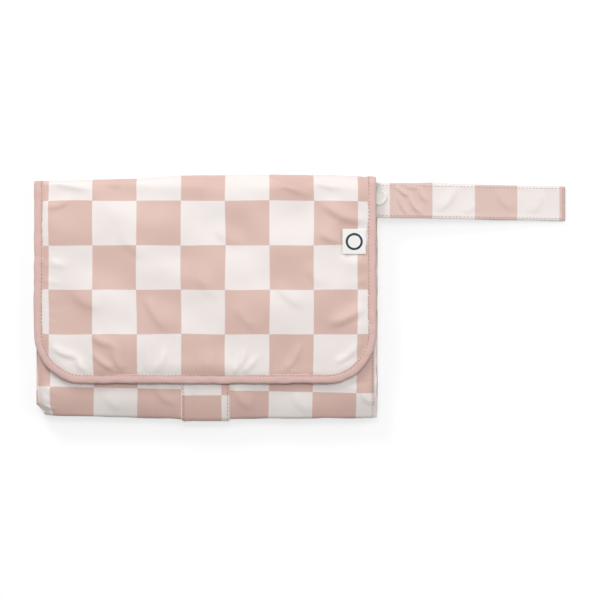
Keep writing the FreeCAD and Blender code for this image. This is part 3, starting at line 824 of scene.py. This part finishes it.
def front_height(x, d, rise, wide, tall):
    """Return the height of the pocket cloth off its side view."""
    at = (x - FRONT.west) / wide, (d + FRONT.mouth) / tall
    left = ease(x, FRONT.west, FRONT.west + 9 * MM)
    right = ease(-x, -FRONT.east, -FRONT.east + 4 * MM)
    ripple = 0.8 * sizes().ripple * wave(x, d, 38 * MM, 33)
    h = (0.6 * read_field(rise, *at) + ripple + creases(x, -d, FRONT_CREASES)) * left * right
    return h - 2.6 * MM * (1 - left) ** 1.5 - 0.8 * MM * (1 - right)


def front_spots(x, d, h):
    """Return places on the pocket front's side view and the directions away from it."""
    spots, higher = (np.column_stack([x, *FRONT_AT(d, level)]) for level in (h, h + 1 * MM))
    return spots, outward(spots, higher)


def sew_front():
    """Sew the pocket's padded front with its bottom fold, hem, gussets and stitched right-hand seam."""
    wide, tall = FRONT.east - FRONT.west, FRONT_END + FRONT.mouth
    across, along = 120, 84
    rise = loose_cloth("front_sheet", wide, tall, across, along, 0.012, 0.03)[2]
    obj, u, v, side = pad_blank("front_pocket_cover", across, along)
    x, d = FRONT.west + wide * u, -FRONT.mouth + tall * v
    h = front_height(x, d, rise, wide, tall)
    bottom = -FRONT.cloth + 1.2 * MM * ease(d, 100 * MM, 116 * MM)
    most = 0.9 * MM + 3 * MM * ease(d, 84 * MM, 90 * MM) * clear_of_band(x)
    height = np.where(side, np.minimum(h, most), np.minimum(bottom, h - 0.8 * MM))
    y, z = FRONT_AT(d, height)
    moved_x, moved_y = settle_edges(x, y)
    lay(obj, np.column_stack([moved_x, moved_y, z]), np.column_stack([x, -d]), "front_cloth", "lining",
        levels=1, under=~side)
    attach(obj, "clutch")
    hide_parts("front_pocket_cloth", "front_pocket_batting", "front_pocket_lining")

    def seam(distance):
        d = -FRONT.mouth + distance
        xs = np.full(len(d), FRONT.east - 2.4 * MM) + wave(d, d * 0, 14 * MM, 31) * 0.2 * MM
        hs = front_height(xs, d, rise, wide, tall) + 0.12 * MM
        spots, normals = front_spots(xs, d, hs)
        spots[:, 1] = settle_edges(xs, spots[:, 1])[1]
        return spots, normals
    stitches = stitch_row("front_seam_stitches", *row_of_places(seam, tall - 12 * MM))
    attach(stitches, "clutch")
    sew_hem(tall)
    sew_gussets()


def clear_of_band(x):
    """Return 0 where the centre band lies on the pocket front and 1 well away from it."""
    west, east = corner("centre_band", 0, "x"), corner("centre_band", 1, "x")
    return ease(np.maximum(west - x, x - east), 0, 6 * MM)


def sew_hem(tall):
    """Gather the narrow seam allowance that stands out along the pocket's right-hand side."""
    obj, u, v, side = pad_blank("pocket_side_ruffle", 6, 150)
    d = -FRONT.mouth + (tall - 14 * MM) * v
    ripple = wave(d, d * 0, 6 * MM, 41)
    x = FRONT.east - 0.6 * MM + u * (2.9 * MM + 0.7 * MM * wave(d, d * 0, 10 * MM, 43))
    h = -0.9 * MM - 1.2 * MM * u + ripple * 0.55 * MM * u + np.where(side, 0.0, -0.6 * MM)
    y, z = FRONT_AT(d, h)
    lay(obj, np.column_stack([x, settle_edges(x, y)[1], z]), np.column_stack([x, -d]), "hem", levels=1)
    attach(obj, "clutch")
    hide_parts("pocket_side_hem")


def sew_gussets():
    """Sew the two soft side walls of the pocket; they fold inwards a little."""
    for name, inwards in (("pocket_gusset_left", 1), ("pocket_gusset_right", -1)):
        lo, hi = (np.array(c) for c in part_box(name))
        obj, u, v, side = pad_blank(name + "_wall", 10, 90)
        y = lo[1] + (hi[1] - lo[1]) * v
        z = lo[2] + (hi[2] - lo[2]) * u
        bow = np.sin(u * math.pi) * (2.2 * MM + 0.8 * MM * wave(y, y * 0, 22 * MM, 51))
        base = (lo[0] if inwards > 0 else hi[0]) + inwards * (0.1 * MM + bow)
        places = np.column_stack([base + inwards * np.where(side, 0.6 * MM, 0), y, z])
        lay(obj, places, np.column_stack([z, y]), "front_cloth", levels=1, turn_out=True)
        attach(obj, "clutch")
        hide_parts(name)


def sew_band():
    """Sew the raised centre band with its two rows of stitches and the loop tape."""
    lo, hi = (np.array(c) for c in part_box("centre_band"))
    obj, u, v, side = pad_blank("centre_band_strip", 30, 90)
    start, end = -hi[1], FRONT_END - 12 * MM
    d = start + (end - start) * v
    x = lo[0] + (hi[0] - lo[0]) * u + wave(d, d * 0, 18 * MM, 61) * 0.25 * MM
    h = band_height(x, d, lo[0], hi[0]) + np.where(side, 0.0, -1.0 * MM)
    lay(obj, np.column_stack([x, *FRONT_AT(d, h)]), np.column_stack([x, -d]), "band_cloth", levels=1)
    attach(obj, "clutch")
    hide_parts("centre_band")
    for label, across in (("left", lo[0] + 2.3 * MM), ("right", hi[0] - 2.3 * MM)):
        def seam(distance, across=across):
            run = start + distance
            xs = np.full(len(run), across)
            hs = band_height(xs, run, lo[0], hi[0]) + 0.12 * MM
            return front_spots(xs, run, hs)
        row = stitch_row(f"centre_band_stitches_{label}", *row_of_places(seam, end - start))
        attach(row, "clutch")
    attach(make_tape("loop_tape_pad", "loop_tape", "loops"), "clutch")


def band_height(x, d, west, east):
    """Return the height of the centre band's face off the pocket front."""
    free = ease(d, 78 * MM, 92 * MM)
    edge = np.minimum(x - west, east - x)
    hem = 0.35 * MM * (ease(edge, 0, 1.2 * MM) - ease(edge, 3.4 * MM, 5 * MM)) * free
    crease = -0.45 * MM * np.exp(-((x + 12 * MM) / (1.2 * MM)) ** 2) * free
    return 1.15 * MM + 0.9 * MM * free * ease(edge, 0, 3 * MM) + hem + crease


# ---------------------------------------------------------------- mat panels and folds

def make_leaf(name, cad_prefix, top_finish, bottom_finish, thin_ends):
    """Make one padded mat panel: crowned foam between two cloths, thinner towards its folds."""
    lo, hi = (np.array(c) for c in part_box(cad_prefix + "_binding"))
    obj, u, v, side = pad_blank(name, 96, 66)
    inset = 1.6 * MM
    x = lo[0] + inset + (hi[0] - lo[0] - 2 * inset) * u
    y = lo[1] + (hi[1] - lo[1]) * v
    middle, half = (lo[2] + hi[2]) / 2, (hi[2] - lo[2]) / 2
    edge = np.minimum(x - lo[0], hi[0] - x)
    crown = 0.72 + 0.28 * ease(edge, 2 * MM, 12 * MM)
    for end, near in zip(thin_ends, (y - lo[1], hi[1] - y)):
        crown = crown * (1 - (0.55 if end else 0.75) * (1 - ease(near, 0, 10 * MM)))
    ripple = 0.12 * MM * wave(x, y, 30 * MM, 71) * np.where(crown > 0.9, 1, 0.3)
    moved_x, moved_y = settle_edges(x, y)
    z = middle + np.where(side, 1, -1) * (half * crown - 0.12 * MM) + ripple
    lay(obj, np.column_stack([moved_x, moved_y, z]), np.column_stack([x, y]), top_finish, bottom_finish,
        levels=1, under=~side)
    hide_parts(*[f"{cad_prefix}_{layer}" for layer in ("cloth", "foam", "lining")])
    return obj


def make_leaf_binding(name, cad_node, body):
    """Fold the tape round the two side edges of a mat panel."""
    lo, hi = (np.array(c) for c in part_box(cad_node))
    sides = []
    for centre in (lo[0] + 2 * MM, hi[0] - 2 * MM):
        obj, u, v = grid(name, 14, 120)
        turn = u * 2 * math.pi
        y = lo[1] + (hi[1] - lo[1]) * v
        a = 2.0 * MM * np.sign(np.cos(turn)) * np.abs(np.cos(turn)) ** 0.7
        b = (hi[2] - lo[2]) / 2 * np.sign(np.sin(turn)) * np.abs(np.sin(turn)) ** 0.7
        thin = 1 - 0.45 * (1 - ease(np.minimum(y - lo[1], hi[1] - y), 0, 8 * MM))
        pucker = wave(y, y * 0 + centre, 12 * MM, 81) * 0.25 * MM
        moved_x, moved_y = settle_edges(centre + a + pucker, y)
        set_points(obj, np.column_stack([moved_x, moved_y, (lo[2] + hi[2]) / 2 + b * thin * 0.98]))
        set_print(obj, np.column_stack([a, y]))
        close_tube(obj)
        sides.append(obj)
    only(sides[0])
    sides[1].select_set(True)
    bpy.ops.object.join()
    finish_piece(sides[0], "binding")
    smooth(sides[0])
    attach(sides[0], body)
    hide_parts(cad_node)


def make_fold(name, cad_node, joint, north):
    """Turn a strip of cover cloth round a fold line, with short tails on both panels."""
    lo, hi = (np.array(c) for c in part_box(cad_node))
    axis = pivot(joint)
    radius = (hi[2] - lo[2]) / 2
    tail, wall = 7 * MM, 1.0 * MM
    obj, u, v, side = pad_blank(name, 90, 34)
    length = 2 * tail + math.pi * radius
    s = length * v
    x = lo[0] + 0.4 * MM + (hi[0] - lo[0] - 0.8 * MM) * u
    turn = np.clip((s - tail) / radius, 0, math.pi)
    before, after = np.minimum(s - tail, 0), np.maximum(s - tail - math.pi * radius, 0)
    sign = 1 if north else -1
    sag = 1 - 0.08 * (1 + wave(x, x * 0, 25 * MM, 91))
    r = radius + np.where(side, 0, -wall)
    y = axis[1] + sign * (r * sag * np.sin(turn) + before - after)
    z = axis[2] + r * np.cos(turn)
    moved_x, moved_y = settle_edges(x, y)
    lay(obj, np.column_stack([moved_x, moved_y, z]), np.column_stack([x, sign * s + axis[1]]), "front_cloth",
        levels=1, turn_out=True)
    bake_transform(obj)
    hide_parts(cad_node)


def sew_mat():
    """Make the three padded panels, their bound sides and the two folds between them."""
    leaves = (("back", "clutch", ("front_cloth", "lining"), (True, False)),
              ("middle", "mat_middle", ("lining", "front_cloth"), (True, True)),
              ("end", "mat_end", ("front_cloth", "lining"), (False, True)))
    for prefix, body, finishes, thin_ends in leaves:
        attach(make_leaf(f"{prefix}_panel_pad", f"{prefix}_panel", *finishes, thin_ends), body)
    for prefix, body, _, _ in leaves:
        make_leaf_binding(f"{prefix}_panel_edges", f"{prefix}_panel_binding", body)
    make_fold("bottom_fold_cloth", "bottom_fold", "mat_unfold", False)
    make_fold("end_fold_cloth", "end_fold", "end_unfold", True)


def sew_mesh_pocket():
    """Sew the mesh pocket and its taped edge inside the storage pocket."""
    for name, finish, slot in (("mesh_pocket", "mesh", "mesh"),
                               ("mesh_pocket_tape", "binding", "rose_binding")):
        lo, hi = (np.array(c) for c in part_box(name))
        obj, u, v, side = pad_blank(name + "_sheet", 60, 24)
        x, y = lo[0] + (hi[0] - lo[0]) * u, lo[1] + (hi[1] - lo[1]) * v
        z = np.where(side, hi[2] - 0.05 * MM, lo[2] + 0.05 * MM) + 0.04 * MM * wave(x, y, 20 * MM, 95)
        lay(obj, np.column_stack([x, y, z]), np.column_stack([x, y]), finish)
        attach(obj, "clutch")
        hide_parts(name)


# ---------------------------------------------------------------- wrist strap, snap and label

def strap_section(u, side, level):
    """Return a strap layer's place across and its height: soft edges, a hem and a flat middle."""
    y = STRAP.south + (STRAP.north - STRAP.south) * u
    edge = np.minimum(y - STRAP.south, STRAP.north - y)
    half = 0.6 * MM * (0.35 + 0.65 * ease(edge, 0, 1.2 * MM)) * (1 + 0.25 * (1 - ease(edge, 4 * MM, 6 * MM)))
    return y, level + np.where(side, half, -half)


def make_strap_layer(name, level, start, end, seed):
    """Sew one layer of the wrist strap with a row of stitches along each edge."""
    obj, u, v, side = pad_blank(name, 24, 150)
    d = start + (end - start) * v
    y, h = strap_section(u, side, level)
    edge = np.minimum(y - STRAP.south, STRAP.north - y)
    folds = creases(d + STRAP.bend[0], y, STRAP_CREASES) * ease(edge, 0, 6 * MM) * ease(d, 2 * MM, 8 * MM)
    ripple = 0.14 * MM * wave(d, y, 22 * MM, seed) + folds
    h = h + ripple * np.sign(level)
    bow = 1.5 * MM * np.exp(-((d - 44 * MM) / (15 * MM)) ** 2) * (level < 0)
    places = along_strap(d, y + bow + 0.3 * MM * wave(d, d * 0, 30 * MM, seed + 2), h)
    lay(obj, places, np.column_stack([STRAP.bend[0] + d, y]), "strap_cloth", levels=1)
    rows = []
    for label, across in (("low", STRAP.south + 2.4 * MM), ("high", STRAP.north - 2.4 * MM)):
        def seam(distance, across=across):
            run = start + distance
            ys = np.full(len(run), across)
            spots, higher = (along_strap(run, ys, np.full(len(run), level + np.sign(level) * h))
                             for h in (0.78 * MM, 1.78 * MM))
            return spots, outward(spots, higher)
        rows.append(stitch_row(f"{name}_stitches_{label}", *row_of_places(seam, end - start)))
    return obj, rows


def sew_strap():
    """Sew the wrist strap: two layers joined by a fold at the far end and closed by the snap at the root."""
    middle = (STRAP.inner + STRAP.outer) / 2
    end = STRAP.reach - 0.6 * MM
    back, back_rows = make_strap_layer("strap_back_cloth", -middle, -STRAP.root, end, 101)
    front, front_rows = make_strap_layer("strap_front_cloth", middle, -STRAP.tip, end, 105)
    for obj in (back, *back_rows):
        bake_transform(obj)
    for obj in (front, *front_rows):
        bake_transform(obj)
    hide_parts("strap_back_layer", "strap_root", "strap_root_bend")
    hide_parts("strap_front_layer", "strap_tip", "strap_tip_bend")
    fold, u, v, side = pad_blank("strap_fold_cloth", 16, 24)
    y, h = strap_section(u, side, 0)
    turn = math.pi * v
    r = middle + h
    out, up = r * np.sin(turn) - 0.6 * MM * np.abs(np.cos(turn)), r * np.cos(turn)
    sine, cosine = math.sin(STRAP.tilt), math.cos(STRAP.tilt)
    slant = -1.2 * MM
    places = np.column_stack([STRAP.far[0] + out * cosine + up * sine, y + slant,
                              STRAP.far[2] - out * sine + up * cosine])
    flat = np.column_stack([STRAP.far[0] + y * 0 + 1 * MM, y])
    lay(fold, places, flat, "strap_cloth", levels=1, turn_out=True)
    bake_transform(fold)
    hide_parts("strap_end_fold")


def mould_snap():
    """Mould the snap's cap with a raised rim; its stud and socket keep their shapes."""
    lo, hi = (np.array(c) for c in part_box("snap_cap"))
    radius = (hi[0] - lo[0]) / 2
    centre, base = (lo + hi) / 2, corner("strap_tip", 1, "z") + 0.05 * MM
    bpy.ops.object.select_all(action="DESELECT")
    bpy.ops.mesh.primitive_cylinder_add(vertices=64, radius=radius, depth=hi[2] - base,
                                        location=(centre[0], centre[1], (base + hi[2]) / 2))
    cap = bpy.context.object
    cap.name = "snap_cap_dome"
    bpy.ops.object.transform_apply(location=True, rotation=True, scale=True)
    select_faces(cap, lambda face: face.normal.z > 0.9)
    bpy.ops.mesh.bevel(offset=1.1 * MM, segments=5, affect="EDGES")
    bpy.ops.object.mode_set(mode="OBJECT")
    widest = max(face.area for face in cap.data.polygons if face.normal.z > 0.9)
    select_faces(cap, lambda face: face.normal.z > 0.9 and face.area > 0.9 * widest)
    bpy.ops.mesh.inset(thickness=0.5 * MM)
    bpy.ops.mesh.inset(thickness=0.5 * MM)
    bpy.ops.transform.translate(value=(0, 0, -0.2 * MM))
    bpy.ops.mesh.inset(thickness=2.2 * MM)
    bpy.ops.transform.translate(value=(0, 0, 0.12 * MM))
    bpy.ops.mesh.poke()
    bpy.ops.object.mode_set(mode="OBJECT")
    finish_piece(cap, "snap")
    smooth(cap, 0, math.radians(30))
    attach(cap, "strap_free_tip")
    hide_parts("snap_cap")
    for name in ("snap_stud", "snap_socket"):
        finish_piece(frame["nodes"][name], "snap")


def label_height(x, y, west):
    """Return how far the label curls up towards its free folded edge."""
    away = (corner("side_label", 1, "x") - x) / (corner("side_label", 1, "x") - west)
    return 1.3 * MM * away ** 2 + 0.15 * MM * wave(x, y, 12 * MM, 121)


def weave_label():
    """Weave the side label: a folded tape with two seams and a plain ring for a mark."""
    lo, hi = (np.array(c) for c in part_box("side_label"))
    obj, u, v, side = pad_blank("side_label_tape", 24, 24)
    x, y = lo[0] + (hi[0] - lo[0]) * u, lo[1] + (hi[1] - lo[1]) * v
    fold = ease(u, 0, 0.06)
    half = 0.38 * MM * (0.2 + 0.8 * fold)
    z = lo[2] + 0.4 * MM + label_height(x, y, lo[0]) + np.where(side, half, -half)
    lay(obj, np.column_stack([x, y, z]), np.column_stack([x, y]), "label", levels=1)
    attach(obj, "label")
    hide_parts("side_label")
    bpy.ops.object.select_all(action="DESELECT")
    bpy.ops.mesh.primitive_torus_add(major_segments=48, minor_segments=8, major_radius=7.2 * MM,
                                     minor_radius=1.1 * MM)
    ring = bpy.context.object
    ring.name = "side_label_ring"
    co = points(ring)
    x, y = co[:, 0] + (lo[0] + hi[0]) / 2, co[:, 1] + (lo[1] + hi[1]) / 2
    level = lo[2] + 0.82 * MM + label_height(x, y, lo[0])
    lay(ring, np.column_stack([x, y, level + co[:, 2] * 0.1]), np.column_stack([x, y]), "ink")
    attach(ring, "label")


# ---------------------------------------------------------------- stage

# The floor glows only for the camera and reflections: it lends the pad no light and still takes its shadow.
FLOOR_GLOW, FLOOR_GREY, ROOM_LIGHT = 0.68, 0.4, 0.32
# Name, place in metres, side in metres and power in watts.
LAMPS = (("key_softbox", (-0.7, 1.35, 0.95), 0.6, 15.5), ("gloss_softbox", (-0.1, 0.6, 2.1), 0.5, 10),
         ("fill_softbox", (1.1, 0.5, 1.3), 1.0, 8.3))
CAMERA_PLACE = (90.2 * MM, -2.4 * MM, 2.93)


def set_stage():
    """Lay a pale floor, hang soft lights and set the camera straight above."""
    bpy.ops.object.select_all(action="DESELECT")
    bpy.ops.mesh.primitive_plane_add(size=12, location=(0, 0, -0.2 * MM))
    floor = bpy.context.object
    floor.name = "floor"
    material = bpy.data.materials.new("pale_studio_floor")
    material.use_nodes = True
    tree = material.node_tree
    tree.nodes.clear()
    path = node(tree, "ShaderNodeLightPath")
    seen = path.outputs["Is Camera Ray"]
    for ray in ("Is Glossy Ray", "Is Transmission Ray"):
        seen = node(tree, "ShaderNodeMath", [(0, seen), (1, path.outputs[ray])],
                    operation="MAXIMUM").outputs[0]
    glow = node(tree, "ShaderNodeMath", [(0, seen), (1, FLOOR_GLOW)], operation="MULTIPLY").outputs[0]
    matt = node(tree, "ShaderNodeBsdfDiffuse", [("Color", (*[FLOOR_GREY] * 3, 1))])
    light = node(tree, "ShaderNodeEmission", [("Color", (1, 1, 1, 1)), ("Strength", glow)])
    both = node(tree, "ShaderNodeAddShader", [(0, matt.outputs[0]), (1, light.outputs[0])])
    node(tree, "ShaderNodeOutputMaterial", [("Surface", both.outputs[0])])
    floor.data.materials.append(material)
    world = bpy.data.worlds.new("soft_white_room")
    world.use_nodes = True
    room = world.node_tree.nodes["Background"]
    room.inputs["Color"].default_value = (1, 1, 1, 1)
    room.inputs["Strength"].default_value = ROOM_LIGHT
    scene = bpy.context.scene
    scene.world = world
    for name, place, size, power in LAMPS:
        bpy.ops.object.light_add(type="AREA", location=place)
        lamp = bpy.context.object
        lamp.name = name
        lamp.data.size = size
        lamp.data.energy = power
        lamp.rotation_euler = (Vector((0.05, 0, 0)) - Vector(place)).to_track_quat("-Z", "Y").to_euler()
    bpy.ops.object.camera_add(location=CAMERA_PLACE, rotation=(0, 0, 0))
    camera = bpy.context.object
    camera.data.lens = 180
    camera.data.sensor_width = 36
    camera.data.clip_start, camera.data.clip_end = 0.1, 30
    scene.camera = camera
    scene.view_settings.view_transform = "Standard"


# ---------------------------------------------------------------- operators, panel and main

class PAD_OT_mix_finishes(bpy.types.Operator):
    """Make every finish of the pad"""
    bl_idname = "pad.mix_finishes"
    bl_label = "Mix finishes"
    bl_options = {"REGISTER", "UNDO"}

    def execute(self, context):
        make_materials()
        return {"FINISHED"}


class PAD_OT_sew_flap(bpy.types.Operator):
    """Sew the flap, its binding, stitches and hook tape"""
    bl_idname = "pad.sew_flap"
    bl_label = "Sew flap"
    bl_options = {"REGISTER", "UNDO"}

    def execute(self, context):
        sew_flap()
        return {"FINISHED"}


class PAD_OT_sew_pocket_front(bpy.types.Operator):
    """Sew the pocket's padded front, hem and side walls"""
    bl_idname = "pad.sew_pocket_front"
    bl_label = "Sew pocket front"
    bl_options = {"REGISTER", "UNDO"}

    def execute(self, context):
        sew_front()
        return {"FINISHED"}


class PAD_OT_sew_centre_band(bpy.types.Operator):
    """Sew the centre band, its stitches and the loop tape"""
    bl_idname = "pad.sew_centre_band"
    bl_label = "Sew centre band"
    bl_options = {"REGISTER", "UNDO"}

    def execute(self, context):
        sew_band()
        return {"FINISHED"}


class PAD_OT_sew_mat(bpy.types.Operator):
    """Sew the padded mat panels, their bound sides and their folds"""
    bl_idname = "pad.sew_mat"
    bl_label = "Sew mat"
    bl_options = {"REGISTER", "UNDO"}

    def execute(self, context):
        sew_mat()
        return {"FINISHED"}


class PAD_OT_sew_mesh_pocket(bpy.types.Operator):
    """Sew the mesh pocket inside the storage pocket"""
    bl_idname = "pad.sew_mesh_pocket"
    bl_label = "Sew mesh pocket"
    bl_options = {"REGISTER", "UNDO"}

    def execute(self, context):
        sew_mesh_pocket()
        return {"FINISHED"}


class PAD_OT_sew_wrist_strap(bpy.types.Operator):
    """Sew the wrist strap's two layers and its far fold"""
    bl_idname = "pad.sew_wrist_strap"
    bl_label = "Sew wrist strap"
    bl_options = {"REGISTER", "UNDO"}

    def execute(self, context):
        sew_strap()
        return {"FINISHED"}


class PAD_OT_mould_snap(bpy.types.Operator):
    """Mould the snap's cap and give its stud and socket their finish"""
    bl_idname = "pad.mould_snap"
    bl_label = "Mould snap"
    bl_options = {"REGISTER", "UNDO"}

    def execute(self, context):
        mould_snap()
        return {"FINISHED"}


class PAD_OT_weave_label(bpy.types.Operator):
    """Weave the side label with its plain ring"""
    bl_idname = "pad.weave_label"
    bl_label = "Weave label"
    bl_options = {"REGISTER", "UNDO"}

    def execute(self, context):
        weave_label()
        return {"FINISHED"}


class PAD_OT_set_stage(bpy.types.Operator):
    """Lay the floor, hang the lights and set the camera"""
    bl_idname = "pad.set_stage"
    bl_label = "Set stage"
    bl_options = {"REGISTER", "UNDO"}

    def execute(self, context):
        set_stage()
        return {"FINISHED"}


STEPS = [PAD_OT_mix_finishes, PAD_OT_sew_flap, PAD_OT_sew_pocket_front, PAD_OT_sew_centre_band,
         PAD_OT_sew_mat, PAD_OT_sew_mesh_pocket, PAD_OT_sew_wrist_strap,
         PAD_OT_mould_snap, PAD_OT_weave_label, PAD_OT_set_stage]


class PAD_PT_panel(bpy.types.Panel):
    """Sidebar panel with the pad's settings and steps."""
    bl_label = "Changing pad"
    bl_idname = "PAD_PT_panel"
    bl_space_type = "VIEW_3D"
    bl_region_type = "UI"
    bl_category = "Changing pad"

    def draw(self, context):
        for group in (context.scene.pad_sizes, context.scene.pad_colours):
            for name in group.__annotations__:
                self.layout.prop(group, name)
        for step in STEPS:
            self.layout.operator(step.bl_idname)


CLASSES = [PadSizes, PadColours, *STEPS, PAD_PT_panel]


def register():
    for cls in CLASSES:
        bpy.utils.register_class(cls)
    bpy.types.Scene.pad_sizes = PointerProperty(type=PadSizes)
    bpy.types.Scene.pad_colours = PointerProperty(type=PadColours)


def unregister():
    del bpy.types.Scene.pad_sizes
    del bpy.types.Scene.pad_colours
    for cls in reversed(CLASSES):
        bpy.utils.unregister_class(cls)


def main():
    """Make the whole pad."""
    register()
    for step in STEPS:
        getattr(bpy.ops.pad, step.bl_idname.split(".")[1])()


if __name__ == "__main__":
    main()
